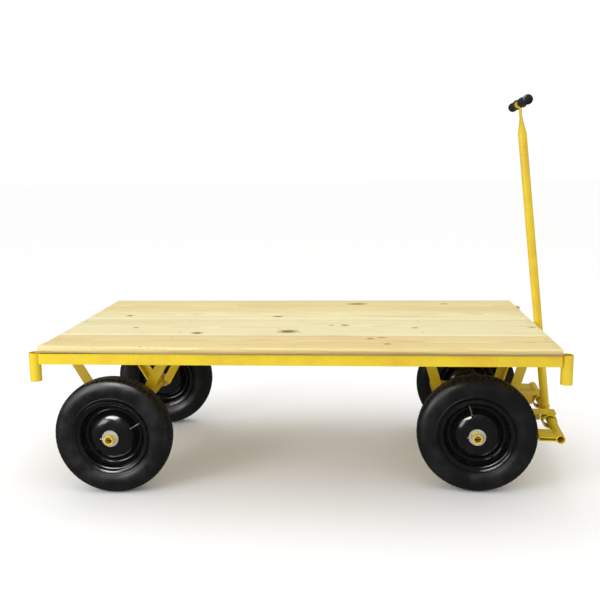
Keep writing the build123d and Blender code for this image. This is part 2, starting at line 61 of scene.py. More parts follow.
UP = Vector((0, 0, 1))
Material = bpy.types.Material
Socket = bpy.types.NodeSocket


def in_mm(*points: tuple[float, float]) -> list[tuple[float, float]]:
    """Turn points given in millimetres into metres."""
    return [(first * MM, second * MM) for first, second in points]


def pivot_of(body: str) -> tuple[Vector, Vector]:
    """The place and the direction of the joint that carries a body."""
    joint = next(j for j in frame["joints"] if j["child"] == body)
    return Vector(joint["pos_m"]), Vector(joint["axis"])


# --- node graphs
class Graph:
    """A material's node tree, with short ways to make the nodes that the finishes share."""

    def __init__(self, name: str) -> None:
        """Start an empty material with a Principled shader.

        Args:
            name: The material's name.
        """
        self.material = bpy.data.materials.new(name)
        self.material.use_nodes = True
        self.nodes = self.material.node_tree.nodes
        self.links = self.material.node_tree.links
        self.shader = self.nodes["Principled BSDF"]
        self.coords = self.nodes.new("ShaderNodeTexCoord").outputs["Object"]

    def add(self, kind: str, **settings: Any) -> bpy.types.Node:
        """Make a node and set its properties.

        Args:
            kind: The node's type, without the ShaderNode prefix.
            **settings: Properties of the node, by name.

        Returns:
            The new node.
        """
        node = self.nodes.new(f"ShaderNode{kind}")
        for key, value in settings.items():
            setattr(node, key, value)
        return node

    def feed(self, socket: Socket, value: Any) -> None:
        """Link an output to a socket, or set the socket to a plain value."""
        if isinstance(value, Socket):
            self.links.new(value, socket)
        else:
            socket.default_value = value

    def mapped(
        self,
        vector: Any = None,
        location: Sequence[float] = (0, 0, 0),
        rotation: Sequence[float] = (0, 0, 0),
        scale: Sequence[float] = (1, 1, 1),
        inverse: bool = False,
    ) -> Socket:
        """Shift, turn or stretch coordinates.

        Args:
            vector: The coordinates, or None for the object's own.
            location: Shift in metres.
            rotation: Turn in radians about each axis.
            scale: Stretch along each axis.
            inverse: Bring the described place to the origin instead of moving it there.

        Returns:
            The mapped coordinates.
        """
        node = self.add("Mapping", vector_type="TEXTURE" if inverse else "POINT")
        self.feed(node.inputs["Vector"], self.coords if vector is None else vector)
        node.inputs["Location"].default_value = location
        node.inputs["Rotation"].default_value = rotation
        node.inputs["Scale"].default_value = scale
        return node.outputs["Vector"]

    def noise(
        self, vector: Any, scale: float, detail: float = 3.0, roughness: float = 0.5,
        output: str = "Fac",
    ) -> Socket:
        """A noise texture read at the given coordinates."""
        node = self.add("TexNoise")
        self.feed(node.inputs["Vector"], vector)
        node.inputs["Scale"].default_value = scale
        node.inputs["Detail"].default_value = detail
        node.inputs["Roughness"].default_value = roughness
        return node.outputs[output]

    def remap(
        self, value: Any, low: float, high: float, to_low: float = 0.0, to_high: float = 1.0
    ) -> Socket:
        """Carry a value smoothly from one range to another, held at both ends."""
        node = self.add("MapRange", interpolation_type="SMOOTHSTEP", clamp=True)
        self.feed(node.inputs["Value"], value)
        for key, number in (
            ("From Min", low), ("From Max", high), ("To Min", to_low), ("To Max", to_high)
        ):
            node.inputs[key].default_value = number
        return node.outputs["Result"]

    def maths(self, operation: str, first: Any, second: Any = 0.0) -> Socket:
        """One step of arithmetic on one or two values."""
        node = self.add("Math", operation=operation)
        self.feed(node.inputs[0], first)
        self.feed(node.inputs[1], second)
        return node.outputs[0]

    def vector_maths(
        self, operation: str, first: Any, second: Any = (0, 0, 0)
    ) -> Socket:
        """One step of arithmetic on vectors."""
        node = self.add("VectorMath", operation=operation)
        self.feed(node.inputs[0], first)
        if operation == "SCALE":
            self.feed(node.inputs["Scale"], second)
        else:
            self.feed(node.inputs[1], second)
        return node.outputs["Value" if operation == "LENGTH" else "Vector"]

    def mix(self, factor: Any, first: Any, second: Any, blend: str = "MIX") -> Socket:
        """Blend two colours, each a socket or an (r, g, b) in linear light."""
        node = self.add("Mix", data_type="RGBA", blend_type=blend)
        self.feed(node.inputs["Factor"], factor)
        for socket, colour in ((node.inputs[6], first), (node.inputs[7], second)):
            self.feed(socket, (*colour, 1.0) if isinstance(colour, tuple) else colour)
        return node.outputs[2]

    def bump(self, height: Any, strength: float, distance: float, base: Any = None) -> Any:
        """A bump made from a height, on top of another bump if one is given."""
        node = self.add("Bump")
        node.inputs["Strength"].default_value = strength
        node.inputs["Distance"].default_value = distance
        self.feed(node.inputs["Height"], height)
        if base is not None:
            self.feed(node.inputs["Normal"], base)
        return node.outputs["Normal"]

    def surface(self, **inputs: Any) -> Material:
        """Set the shader's sockets by name, with _ for a space, and return the material."""
        for key, value in inputs.items():
            name = key.replace("_", " ").title().replace("Ior", "IOR")
            socket = self.shader.inputs[name]
            self.feed(socket, (*value, 1.0) if isinstance(value, tuple) else value)
        return self.material


def linear(red: int, green: int, blue: int) -> tuple[float, float, float]:
    """Turn a paint-chip colour of 0 to 255 into linear light."""
    def one(part: int) -> float:
        """Carry one channel to linear light."""
        share = part / 255
        return share / 12.92 if share <= 0.04045 else ((share + 0.055) / 1.055) ** 2.4
    return one(red), one(green), one(blue)


# --- finishes
@dataclass(frozen=True)
class YellowEnamel:
    """Brushed-on gloss enamel: slightly uneven, with fine grit and a few chips."""

    colour: tuple[float, float, float] = linear(226, 198, 34)
    deep: tuple[float, float, float] = linear(218, 180, 20)
    primer: tuple[float, float, float] = linear(96, 74, 30)
    roughness: float = 0.32
    coat: float = 0.35

    def material(self) -> Material:
        """Build the enamel.

        Returns:
            The material.
        """
        graph = Graph("yellow_enamel")
        cloud = graph.noise(graph.coords, 14.0, 4.0)
        grit = graph.noise(graph.coords, 900.0, 2.0)
        peel = graph.noise(graph.coords, 260.0, 2.0)
        chips = graph.noise(graph.coords, 150.0, 6.0, 0.62)
        body = graph.mix(graph.remap(cloud, 0.35, 0.7), self.colour, self.deep)
        chip = graph.remap(chips, 0.735, 0.765)
        colour = graph.mix(chip, body, self.primer)
        rough = graph.remap(cloud, 0.3, 0.7, self.roughness - 0.06, self.roughness + 0.1)
        normal = graph.bump(peel, 0.12, 0.0006)
        normal = graph.bump(grit, 0.08, 0.0002, normal)
        normal = graph.bump(graph.maths("MULTIPLY", chip, -1.0), 0.5, 0.0002, normal)
        return graph.surface(
            base_color=colour, roughness=rough, normal=normal, coat_weight=self.coat,
            coat_roughness=0.18,
        )


@dataclass(frozen=True)
class BlackEnamel:
    """Dipped black gloss on pressed steel, with a thin film of dust."""

    colour: tuple[float, float, float] = (0.004, 0.004, 0.0045)
    dust: tuple[float, float, float] = (0.02, 0.0195, 0.019)

    def material(self) -> Material:
        """Build the enamel."""
        graph = Graph("black_enamel")
        cloud = graph.noise(graph.coords, 26.0, 5.0)
        waves = graph.noise(graph.coords, 70.0, 2.0)
        film = graph.remap(cloud, 0.5, 0.85, 0.0, 0.25)
        colour = graph.mix(film, self.colour, self.dust)
        rough = graph.remap(cloud, 0.3, 0.8, 0.13, 0.34)
        normal = graph.bump(waves, 0.1, 0.0008)
        return graph.surface(
            base_color=colour, roughness=rough, normal=normal, coat_weight=0.6,
            coat_roughness=0.07,
        )


@dataclass(frozen=True)
class MouldedRubber:
    """Moulded black rubber with a faint bloom in patches."""

    name: str
    colour: tuple[float, float, float] = (0.0045, 0.0047, 0.0048)
    bloom: tuple[float, float, float] = (0.011, 0.0113, 0.0116)
    roughness: float = 0.36
    grain: float = 700.0

    def material(self) -> Material:
        """Build the rubber."""
        graph = Graph(self.name)
        cloud = graph.noise(graph.coords, 18.0, 5.0, 0.6)
        grain = graph.noise(graph.coords, self.grain, 3.0)
        film = graph.remap(cloud, 0.42, 0.75)
        colour = graph.mix(film, self.colour, self.bloom)
        rough = graph.remap(cloud, 0.3, 0.75, self.roughness - 0.08, self.roughness + 0.14)
        normal = graph.bump(grain, 0.25, 0.0003)
        return graph.surface(
            base_color=colour, roughness=rough, normal=normal, specular_ior_level=0.6
        )


@dataclass(frozen=True)
class ZincPlate:
    """Dull zinc plating, with paint mist from the frame where it is given."""

    name: str
    overspray: float = 0.0
    colour: tuple[float, float, float] = (0.6, 0.59, 0.56)
    shine: float = 0.4
    mist: tuple[float, float, float] = linear(232, 182, 30)

    def material(self) -> Material:
        """Build the plating."""
        graph = Graph(self.name)
        cloud = graph.noise(graph.coords, 120.0, 4.0)
        scratch = graph.noise(graph.mapped(scale=(1.0, 6.0, 1.0)), 380.0, 3.0)
        cover = graph.remap(cloud, 0.62 - self.overspray, 0.72 - self.overspray)
        cover = graph.maths("MULTIPLY", cover, 1.0 if self.overspray else 0.0)
        colour = graph.mix(cover, self.colour, self.mist)
        metal = graph.maths("MULTIPLY", graph.maths("SUBTRACT", 1.0, cover), self.shine)
        rough = graph.remap(scratch, 0.3, 0.7, 0.26, 0.46)
        normal = graph.bump(scratch, 0.12, 0.0002)
        return graph.surface(base_color=colour, metallic=metal, roughness=rough, normal=normal)


class Flaw(Enum):
    """What a mark in a board is."""

    KNOT = "knot"
    CRACK = "crack"


@dataclass(frozen=True)
class Mark:
    """A knot or a crack in a board, placed from the deck's middle."""

    x: float
    y: float
    long: float
    short: float
    turn: float = 0.0
    dark: float = 0.8
    depth: float = 0.06
    kind: Flaw = Flaw.KNOT


@dataclass(frozen=True)
class PineTone:
    """The colour and growth of one board."""

    early: tuple[float, float, float]
    late: tuple[float, float, float]
    heart_y: float
    heart_depth: float
    climb: float
    ring: float = 5.2 * MM
    contrast: float = 0.5


@dataclass(frozen=True)
class PineBoard:
    """Sawn pine whose rings run through the solid, so the faces and the end grain agree."""

    name: str
    tone: PineTone
    marks: tuple[Mark, ...]
    deck_middle: Vector
    knot_core: tuple[float, float, float] = linear(112, 92, 56)
    knot_rim: tuple[float, float, float] = linear(150, 122, 70)
    crack_colour: tuple[float, float, float] = linear(64, 48, 26)
    # Colour of the painted shade on the boards' sides, and how much of the wood's own colour is
    # left at their bottom
    painted_shade_colour: tuple[float, float, float] = linear(150, 132, 84)
    unshaded_at_bottom: float = 0.15

    def material(self) -> Material:
        """Build the wood.

        Returns:
            The material.
        """
        graph = Graph(self.name)
        drift = graph.noise(graph.mapped(scale=(0.55, 2.4, 2.4)), 2.6, output="Color")
        sway = graph.vector_maths("SUBTRACT", drift, (0.5, 0.5, 0.5))
        sway = graph.vector_maths("MULTIPLY", sway, (0.0, 0.03, 0.03))
        place = graph.vector_maths("ADD", graph.coords, sway)
        for mark in self.marks:
            if mark.kind is Flaw.KNOT:
                swell = self.mask(graph, mark, 3.2, 0.0, 1.0)
                push = graph.maths("MULTIPLY", swell, mark.short * 1.3)
                shift = graph.add("CombineXYZ")
                graph.feed(shift.inputs["Z"], push)
                place = graph.vector_maths("ADD", place, shift.outputs["Vector"])
        heart = (self.deck_middle.x, self.tone.heart_y, self.deck_middle.z - self.tone.heart_depth)
        log = graph.mapped(
            place, location=heart, rotation=(0, self.tone.climb, 0), inverse=True
        )
        rings = graph.add("TexWave", wave_type="RINGS", rings_direction="X", wave_profile="SAW")
        graph.feed(rings.inputs["Vector"], log)
        rings.inputs["Scale"].default_value = math.tau / 20 / self.tone.ring
        rings.inputs["Distortion"].default_value = 1.2
        rings.inputs["Detail"].default_value = 2.0
        rings.inputs["Detail Scale"].default_value = 1.5
        fibre = graph.noise(graph.mapped(scale=(0.02, 1.0, 1.0)), 620.0, 4.0, 0.6)
        streak = graph.noise(graph.mapped(scale=(0.05, 1.0, 1.0)), 42.0, 4.0, 0.55)
        patch = graph.noise(graph.mapped(scale=(0.4, 1.6, 1.0)), 3.4, 3.0)
        late = graph.remap(rings.outputs["Fac"], 0.25, 1.0, 0.0, self.tone.contrast)
        colour = graph.mix(late, self.tone.early, self.tone.late)
        warm = graph.remap(patch, 0.4, 0.72, 0.0, 0.3)
        colour = graph.mix(warm, colour, self.tone.late)
        vein = graph.remap(streak, 0.58, 0.75, 0.0, 0.28)
        colour = graph.mix(vein, colour, self.knot_rim)
        hair = graph.remap(fibre, 0.42, 0.74, 0.0, 0.16)
        colour = graph.mix(hair, colour, self.knot_rim)
        height = graph.maths("MULTIPLY", rings.outputs["Fac"], -0.4)
        height = graph.maths("ADD", height, fibre)
        for mark in self.marks:
            if mark.kind is Flaw.KNOT:
                halo = self.mask(graph, mark, 1.7, 0.75, 1.0)
                colour = graph.mix(graph.maths("MULTIPLY", halo, 0.45), colour, self.knot_rim)
                core = self.mask(graph, mark, 1.0, 0.7, 0.25)
                colour = graph.mix(graph.maths("MULTIPLY", core, mark.dark), colour, self.knot_core)
                height = graph.maths("SUBTRACT", height, core)
            else:
                split = self.mask(graph, mark, 1.0, 0.55, 0.2)
                cover = graph.maths("MULTIPLY", split, mark.dark)
                colour = graph.mix(cover, colour, self.crack_colour)
                height = graph.maths("SUBTRACT", height, graph.maths("MULTIPLY", split, 3.0))
        normal = graph.bump(height, 0.35, 0.0006)
        rough = graph.remap(fibre, 0.3, 0.7, 0.5, 0.7)
        # Painted shade: each board's sides are multiplied by a brown colour. This starts 1 mm below
        # the top face and reaches full strength 19 mm below it, so the sides get darker towards the
        # bottom. The top face is not darkened.
        level = graph.add("SeparateXYZ")
        graph.feed(level.inputs["Vector"], graph.coords)
        top = self.deck_middle.z
        unshaded = graph.remap(level.outputs["Z"], top - 19 * MM, top - 1 * MM, self.unshaded_at_bottom, 1.0)
        shade = graph.maths("SUBTRACT", 1.0, unshaded)
        colour = graph.mix(shade, colour, self.painted_shade_colour, "MULTIPLY")
        return graph.surface(base_color=colour, roughness=rough, normal=normal)

    def mask(
        self, graph: Graph, mark: Mark, grow: float, solid: float, wobble: float
    ) -> Socket:
        """How much of a mark there is at each point, from 0 outside it to 1 in its middle.

        Args:
            graph: The board's node tree.
            mark: The knot or crack.
            grow: How many times its size the mask reaches.
            solid: Share of that reach, from the middle, that is fully covered.
            wobble: How far its outline wanders.

        Returns:
            The mask.
        """
        ripple = graph.noise(graph.coords, 90.0, 2.0, output="Color")
        bend = graph.vector_maths("SUBTRACT", ripple, (0.5, 0.5, 0.5))
        bend = graph.vector_maths("SCALE", bend, wobble * mark.short)
        near = graph.vector_maths("ADD", graph.coords, bend)
        local = graph.mapped(
            near,
            location=(self.deck_middle.x + mark.x, mark.y, self.deck_middle.z),
            rotation=(0, 0, mark.turn),
            scale=(mark.long * grow, mark.short * grow, mark.depth), inverse=True,
        )
        reach = graph.vector_maths("LENGTH", local)
        return graph.remap(reach, 1.0, solid * 0.9, 0.0, 1.0)


# --- mesh pieces
class Piece:
    """A new mesh piece, from its first vertices to its place on a body."""

    def __init__(self, name: str) -> None:
        """Open an empty mesh under the given name."""
        self.name = name
        self.bm = bmesh.new()

    def geometry(self) -> list[Any]:
        """Every vertex, edge and face of the piece."""
        return self.bm.verts[:] + self.bm.edges[:] + self.bm.faces[:]

    def move(self, matrix: Matrix, verts: Iterable[bmesh.types.BMVert] | None = None) -> None:
        """Carry the whole piece, or some of its vertices, by a matrix."""
        chosen = list(self.bm.verts if verts is None else verts)
        bmesh.ops.transform(self.bm, matrix=matrix, verts=chosen)

    def spin(self, outline: Sequence[tuple[float, float]], steps: int, closed: bool = True) -> None:
        """Turn an outline about the local Z axis.

        Args:
            outline: Points as (radius, height).
            steps: How many flats the full turn has.
            closed: Join the last point to the first.
        """
        verts = [self.bm.verts.new((radius, 0.0, height)) for radius, height in outline]
        pairs = list(zip(verts, verts[1:] + ([verts[0]] if closed else [])))
        edges = [self.bm.edges.new(pair) for pair in pairs]
        bmesh.ops.spin(
            self.bm, geom=verts + edges, cent=(0, 0, 0), axis=(0, 0, 1), angle=math.tau,
            steps=steps, use_merge=True,
        )
        bmesh.ops.remove_doubles(self.bm, verts=self.bm.verts, dist=1e-6)
        bmesh.ops.recalc_face_normals(self.bm, faces=self.bm.faces)

    def finish(
        self, body: str, slot: str, material: Material,
        stands_for: Sequence[str] = (), crease: float = 32.0,
    ) -> bpy.types.Object:
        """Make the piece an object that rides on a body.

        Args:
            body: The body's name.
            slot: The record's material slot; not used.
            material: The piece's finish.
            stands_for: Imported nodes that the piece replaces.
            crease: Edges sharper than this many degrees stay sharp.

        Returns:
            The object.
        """
        self.bm.normal_update()
        for face in self.bm.faces:
            face.smooth = True
        for edge in self.bm.edges:
            if len(edge.link_faces) == 2:
                edge.smooth = edge.calc_face_angle(0.0) < math.radians(crease)
        mesh = bpy.data.meshes.new(self.name)
        self.bm.to_mesh(mesh)
        self.bm.free()
        mesh.materials.append(material)
        piece = bpy.data.objects.new(self.name, mesh)
        bpy.context.scene.collection.objects.link(piece)
        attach(piece, body)
        if stands_for:
            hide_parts(*stands_for)
        LOG.info("%s: %d faces on %s", self.name, len(mesh.polygons), body)
        return piece


def place_on(origin: Vector, axis: Vector, spare: Vector = UP) -> Matrix:
    """A matrix that carries local +Z to an axis and local +X near a spare direction."""
    up = axis.normalized()
    side = (spare - up * spare.dot(up)).normalized()
    turn = Matrix((side, up.cross(side), up)).transposed().to_4x4()
    return Matrix.Translation(origin) @ turn


class Paints:
    """Every finish of the truck, made once."""

    def __init__(self) -> None:
        """Make the finishes."""
        self.yellow = YellowEnamel().material()
        self.black = BlackEnamel().material()
        self.tyre = MouldedRubber("tyre_rubber").material()
        self.grip = MouldedRubber("grip_rubber", roughness=0.42).material()
        self.zinc = ZincPlate("zinc").material()
        self.misted = ZincPlate("zinc_with_paint_mist", overspray=0.08).material()

    def dress(self) -> None:
        """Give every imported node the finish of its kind."""
        kinds = (
            ("_tyre", self.tyre), ("_inner_tube", self.tyre), ("_rim", self.black),
            ("_hub", self.black), ("_grip", self.grip), ("_wheel_washers", self.misted),
            ("_split_pins", self.misted), ("king_", self.zinc), ("deck_screws", self.zinc),
        )
        for name, node in frame["nodes"].items():
            chosen = next((paint for part, paint in kinds if part in name), self.yellow)
            node.data.materials.clear()
            node.data.materials.append(chosen)


# --- deck
@dataclass
class Deck:
    """The four pine boards and their screws."""

    edge_wander: float = 0.5 * MM
    arris: float = 1.1 * MM
    lift: float = 3.4 * MM
    lift_length: float = 0.5
    lift_width: float = 0.11
    screw_head: float = 4.5 * MM
    recess: float = 1.6 * MM
    tones: tuple[PineTone, ...] = (
        PineTone(linear(240, 222, 158), linear(214, 178, 106), -0.30, 0.055, 0.012, contrast=0.6),
        PineTone(linear(242, 232, 182), linear(218, 196, 133), -0.09, 0.075, -0.016),
        PineTone(linear(243, 235, 184), linear(216, 198, 140), 0.12, 0.09, 0.02),
        PineTone(linear(242, 225, 163), linear(210, 177, 110), 0.29, 0.06, -0.01),
    )
    marks: tuple[tuple[Mark, ...], ...] = (
        (
            Mark(0.218, -0.268, 0.010, 0.007, 0.2, 0.5),
            Mark(0.253, -0.251, 0.012, 0.006, 0.0, 0.4),
            Mark(0.267, -0.337, 0.009, 0.008, 0.4, 0.35),
            Mark(0.677, -0.311, 0.024, 0.0012, -0.25, 0.9, kind=Flaw.CRACK),
            Mark(-0.446, -0.388, 0.016, 0.0011, -1.0, 0.9, 0.012, kind=Flaw.CRACK),
        ),
        (
            Mark(-0.036, -0.168, 0.025, 0.019, 0.05, 0.85),
            Mark(-0.066, -0.128, 0.034, 0.0011, -0.95, 0.7, kind=Flaw.CRACK),
            Mark(-0.319, -0.195, 0.015, 0.012, 0.0, 0.85),
            Mark(-0.536, -0.112, 0.008, 0.006, 0.0, 0.5),
            Mark(-0.499, -0.180, 0.010, 0.0012, 1.2, 0.6, kind=Flaw.CRACK),
            Mark(0.097, -0.070, 0.008, 0.006, 0.3, 0.45),
            Mark(0.140, -0.070, 0.011, 0.008, 0.0, 0.75),
            Mark(0.362, -0.107, 0.008, 0.006, 0.0, 0.4),
            Mark(0.727, -0.099, 0.009, 0.007, 0.0, 0.4),
        ),
        (
            Mark(-0.615, 0.088, 0.010, 0.009, 0.0, 0.8),
            Mark(-0.093, 0.078, 0.014, 0.009, 0.0, 0.7),
        ),
        (
            Mark(0.180, 0.324, 0.030, 0.014, 0.0, 0.75),
            Mark(0.498, 0.324, 0.012, 0.008, 0.0, 0.4),
        ),
    )

    def build(self, paints: Paints) -> None:
        """Build the boards and the screws.

        Args:
            paints: The truck's finishes.
        """
        low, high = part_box("deck_board_1")
        middle = Vector(((low.x + high.x) / 2, 0.0, high.z))
        for number, (tone, marks) in enumerate(zip(self.tones, self.marks), start=1):
            self.board(number, PineBoard(f"pine_{number}", tone, marks, middle).material())
        self.screws(paints)

    def board(self, number: int, wood: Material) -> None:
        """Build one board, a little uneven along its edges.

        Args:
            number: Which board, from the right-hand side.
            wood: Its finish.
        """
        node = f"deck_board_{number}"
        low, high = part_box(node)
        piece = Piece(f"board_{number}")
        bmesh.ops.create_cube(piece.bm, size=1.0)
        size = high - low
        piece.move(Matrix.Translation((low + high) / 2) @ Matrix.Diagonal((*size, 1.0)))
        bmesh.ops.bevel(
            piece.bm, geom=list(piece.bm.edges), offset=self.arris, segments=2, profile=0.5,
            affect="EDGES", material=-1,
        )
        for axis, cuts in ((0, 90), (1, 6)):
            for cut in range(1, cuts):
                point = low + size * (cut / cuts)
                normal = Vector((axis == 0, axis == 1, 0))
                bmesh.ops.bisect_plane(
                    piece.bm, geom=piece.geometry(),
                    plane_co=point, plane_no=normal,
                )
        for vert in piece.bm.verts:
            vert.co += self.unevenness(vert.co, low, high, number)
        piece.finish("chassis", "boards", wood, (node,), crease=50.0)

    def unevenness(self, point: Vector, low: Vector, high: Vector, number: int) -> Vector:
        """How far a point of a board stands from the ideal plank.

        Args:
            point: The point.
            low: The board's lowest corner.
            high: The board's highest corner.
            number: Which board.

        Returns:
            The shift.
        """
        wander = noise.noise(Vector((point.x * 9, number * 7.3, point.z * 20)))
        inward = 1.0 if point.y < (low.y + high.y) / 2 else -1.0
        at_edge = min(point.y - low.y, high.y - point.y) < 3 * MM
        shift = Vector((0, inward * abs(wander) * self.edge_wander if at_edge else 0.0, 0))
        top = point.z > (low.z + high.z) / 2
        if top:
            shift.z -= abs(noise.noise(Vector((point.x * 5, point.y * 14, number)))) * 0.4 * MM
        if number == 1:
            along = max(0.0, 1 - (point.x - low.x) / self.lift_length)
            across = max(0.0, 1 - (point.y - low.y) / self.lift_width)
            shift.z += self.lift * along * across
        return shift

    def screws(self, paints: Paints) -> None:
        """Build the countersunk screws, each with a pointed recess in its head."""
        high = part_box("deck_screws")[1]
        centres = self.screw_centres()
        piece = Piece("board_screws")
        for index, centre in enumerate(centres):
            start = len(piece.bm.verts)
            made = bmesh.ops.create_cone(
                piece.bm, cap_ends=True, segments=16, radius1=self.screw_head * 0.55,
                radius2=self.screw_head, depth=4 * MM,
            )["verts"]
            turn = Matrix.Rotation(index * 0.7, 4, "Z")
            piece.move(
                Matrix.Translation((centre.x, centre.y, high.z - 2 * MM + 0.1 * MM)) @ turn, made
            )
            piece.bm.verts.ensure_lookup_table()
            lid = max(
                {face for vert in piece.bm.verts[start:] for face in vert.link_faces},
                key=lambda face: face.calc_center_median().z,
            )
            bmesh.ops.inset_region(piece.bm, faces=[lid], thickness=self.screw_head * 0.5)
            bmesh.ops.poke(piece.bm, faces=[lid], offset=-self.recess)
        piece.finish("chassis", "zinc", paints.zinc, ("deck_screws",))

    def screw_centres(self) -> list[Vector]:
        """Where the screws stand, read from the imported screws' own vertices."""
        node = frame["nodes"]["deck_screws"]
        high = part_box("deck_screws")[1]
        tops = [vert.co.copy() for vert in node.data.vertices if high.z - vert.co.z < 0.1 * MM]
        groups: list[list[Vector]] = []
        for top in tops:
            near = next((g for g in groups if (g[0].xy - top.xy).length < 12 * MM), None)
            if near is None:
                groups.append([top])
            else:
                near.append(top)
        centres = []
        for group in groups:
            xs, ys = [p.x for p in group], [p.y for p in group]
            centres.append(Vector(((min(xs) + max(xs)) / 2, (min(ys) + max(ys)) / 2, high.z)))
        return centres


# --- wheels
@dataclass
class Wheel:
    """A pneumatic wheel: ribbed tyre, two-piece rim, hub with its bearing, and valve.

    The lines are in millimetres.  Both run outwards from the tread and start at its top:
    tread_line is (depth, distance from the middle), bulge_line is (depth, distance in from
    the widest point).
    """

    name: str
    lugs: int = 66
    steps_per_lug: int = 3
    lug_half: float = 20 * MM
    half_width: float = 42 * MM
    lug_depth: float = 2.6 * MM
    tread_line: tuple[tuple[float, float], ...] = (
        (0, 0), (0, 3.6), (3.6, 4.6), (3.6, 6.6), (0.1, 7.6), (0.4, 12), (4.0, 13), (4.2, 15),
        (0.9, 16), (1.5, 20), (2.8, 24), (4.6, 28.5), (6.4, 31), (9.6, 33.9),
    )
    bulge_line: tuple[tuple[float, float], ...] = (
        (14, 5.3), (20, 2.3), (27, 0.5), (34, 0), (41, 0.6), (48, 2.4), (54, 4.9), (56.4, 6.1),
        (57.2, 5.7), (58.6, 6.3), (59.4, 7.6), (63, 9.6),
    )
    bead_radius: float = 99.5 * MM
    bead_half: float = 28 * MM
    lip_radius: float = 109 * MM
    sheet: float = 1.96 * MM
    hub_half: float = 42 * MM
    hub_radius: float = 20.5 * MM
    bore: float = 13.4 * MM

    def build(self, paints: Paints) -> None:
        """Build the wheel's pieces and set them on its axle.

        Args:
            paints: The truck's finishes.
        """
        self.body = f"{self.name}_wheel"
        centre, axis = pivot_of(self.body)
        self.seat = place_on(centre, axis * (1 if self.name.endswith("left") else -1))
        low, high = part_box(f"{self.name}_tyre")
        self.radius = (high.z - low.z) / 2
        self.tyre(paints)
        self.rim(paints)
        self.hub(paints)
        self.valve(paints)

    def tyre_line(self) -> list[tuple[float, float]]:
        """Half of the tyre's outside, from the tread's middle to the bead, as (radius, height)."""
        top, side = self.radius, self.half_width
        return [
            *((top - depth * MM, height * MM) for depth, height in self.tread_line),
            *((top - depth * MM, side - inset * MM) for depth, inset in self.bulge_line),
            (self.lip_radius + 2 * MM, self.bead_half + 3.2 * MM),
            (self.lip_radius - 2 * MM, self.bead_half + 1.4 * MM),
            (self.bead_radius, self.bead_half),
        ]

    def tyre(self, paints: Paints) -> None:
        """Build the tyre: a closed shell with ribs, grooves and shoulder lugs."""
        half = self.tyre_line()
        inner_top, inner_side = self.radius - 10 * MM, self.half_width - 5 * MM
        inner = [
            (self.bead_radius, self.bead_half - 6 * MM),
            (self.bead_radius + 14 * MM, inner_side - 9 * MM), (self.radius - 36 * MM, inner_side),
            (inner_top - 6 * MM, inner_side - 9 * MM), (inner_top, 14 * MM),
        ]
        right = half + inner
        left = [(radius, -height) for radius, height in reversed(half[1:] + inner)]
        piece = Piece(f"{self.name}_ribbed_tyre")
        steps = self.lugs * self.steps_per_lug
        piece.spin(right + left, steps)
        cuts = []
        for face in piece.bm.faces:
            middle = face.calc_center_median()
            reach = math.hypot(middle.x, middle.y)
            turn = math.atan2(middle.y, middle.x) % math.tau
            index = int(turn / math.tau * steps)
            on_shoulder = self.lug_half - 4 * MM < abs(middle.z) < 33 * MM
            if on_shoulder and reach > self.radius - 8 * MM and index % self.steps_per_lug == 0:
                cuts.append(face)
        bmesh.ops.inset_region(
            piece.bm, faces=cuts, thickness=0.7 * MM, depth=-self.lug_depth, use_even_offset=True
        )
        piece.move(self.seat)
        piece.finish(self.body, "tyre", paints.tyre, (f"{self.name}_tyre",), crease=28.0)

    def rim_line(self) -> list[tuple[float, float]]:
        """The outer face of one pressed rim half from the hub to its lip, as (radius, height)."""
        return [(self.hub_radius + 0.2 * MM, 37.5 * MM)] + in_mm(
            (28, 37.6), (36, 37.2), (44, 36.2), (51, 34.2), (57, 31.2), (62, 27.6), (66, 23.2),
            (69, 18.2), (71.5, 13.0), (74.2, 8.2), (77.4, 4.6), (81, 2.9), (85, 3.8), (88.6, 6.6),
            (92, 10.8), (94.9, 15.6), (96.6, 21.0), (97.3, 26.0), (98.2, 29.4), (100.5, 30.8),
            (104, 31.4), (107.4, 32.6), (109.4, 34.6), (110.0, 36.6),
        )

    def rim(self, paints: Paints) -> None:
        """Build both rim halves: pressed sheets whose lips are rolled outwards."""
        piece = Piece(f"{self.name}_pressed_rim")
        outer = self.rim_line()
        back = []
        for index, (radius, height) in enumerate(outer):
            before = outer[max(index - 1, 0)]
            after = outer[min(index + 1, len(outer) - 1)]
            run = Vector((after[0] - before[0], after[1] - before[1])).normalized()
            back.append((radius + run.y * self.sheet, height - run.x * self.sheet))
        section = outer + in_mm((110.9, 37.2), (111.8, 36.8)) + back[::-1]
        piece.spin(section, 96)
        twin = bmesh.ops.duplicate(piece.bm, geom=piece.geometry())
        copied = [item for item in twin["geom"] if isinstance(item, bmesh.types.BMVert)]
        bmesh.ops.scale(piece.bm, vec=(1, 1, -1), verts=copied)
        bmesh.ops.recalc_face_normals(piece.bm, faces=piece.bm.faces)
        piece.move(self.seat)
        piece.finish(self.body, "wheel_paint", paints.black, (f"{self.name}_rim",), crease=60.0)

    def hub(self, paints: Paints) -> None:
        """Build the hub tube and the sealed faces of its bearings."""
        piece = Piece(f"{self.name}_hub_tube")
        half, outer = self.hub_half, self.hub_radius
        seat = outer - 3 * MM
        side = [
            (self.bore, half - 1.2 * MM), (self.bore + 1.6 * MM, half - 0.6 * MM),
            (self.bore + 1.9 * MM, half - 1.6 * MM), (seat - 0.9 * MM, half - 1.6 * MM),
            (seat - 0.6 * MM, half - 0.6 * MM), (seat, half - 0.6 * MM), (seat, half),
            (outer - 0.8 * MM, half), (outer, half - 0.8 * MM), (outer, half - 6 * MM),
        ]
        mirrored = [(radius, -height) for radius, height in reversed(side)]
        piece.spin(side + mirrored, 48)
        piece.move(self.seat)
        piece.finish(self.body, "wheel_paint", paints.black, (f"{self.name}_hub",))

